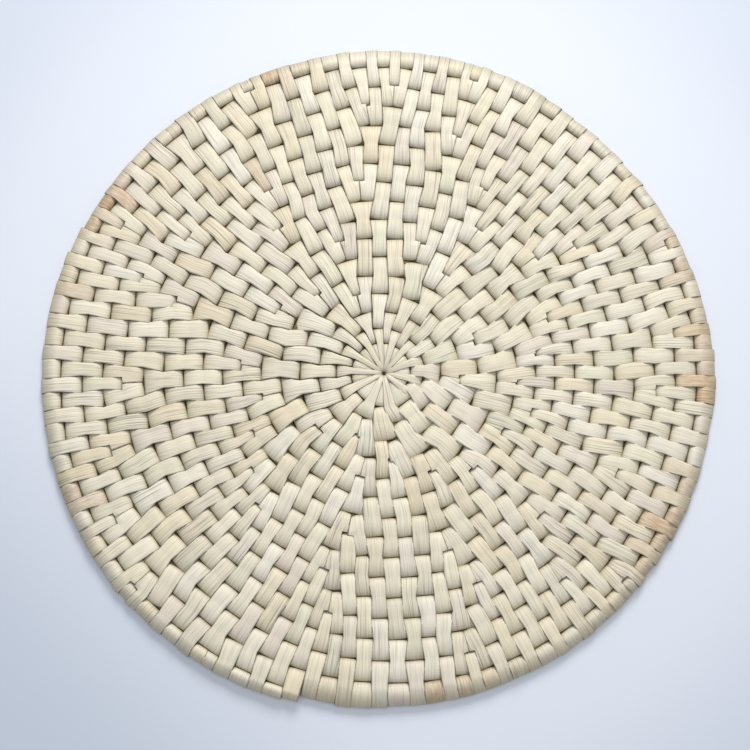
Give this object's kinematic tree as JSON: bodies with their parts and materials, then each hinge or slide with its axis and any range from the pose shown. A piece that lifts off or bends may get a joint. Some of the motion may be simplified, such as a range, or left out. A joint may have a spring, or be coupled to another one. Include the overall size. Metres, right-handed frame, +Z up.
{
  "type": "round bamboo placemat",
  "caption": "Round, flat placemat coiled from one strip-wrapped bundle, bound turn to turn with pale bamboo strips in a radial brick pattern.",
  "frame": {"origin": "on the surface that the mat lies on, under the middle of its box", "axes": "+Z up out of the upper face, +X to the right and +Y away in the view from above; the winding's end is in the rim at 256 degrees anticlockwise from +X"},
  "size_m": [0.35, 0.3456, 0.008],
  "materials": {
    "bamboo_strip": "dry, satin, long fibres"
  },
  "bodies": {
    "root": {"mat": "bamboo_strip"}
  },
  "joints": []
}
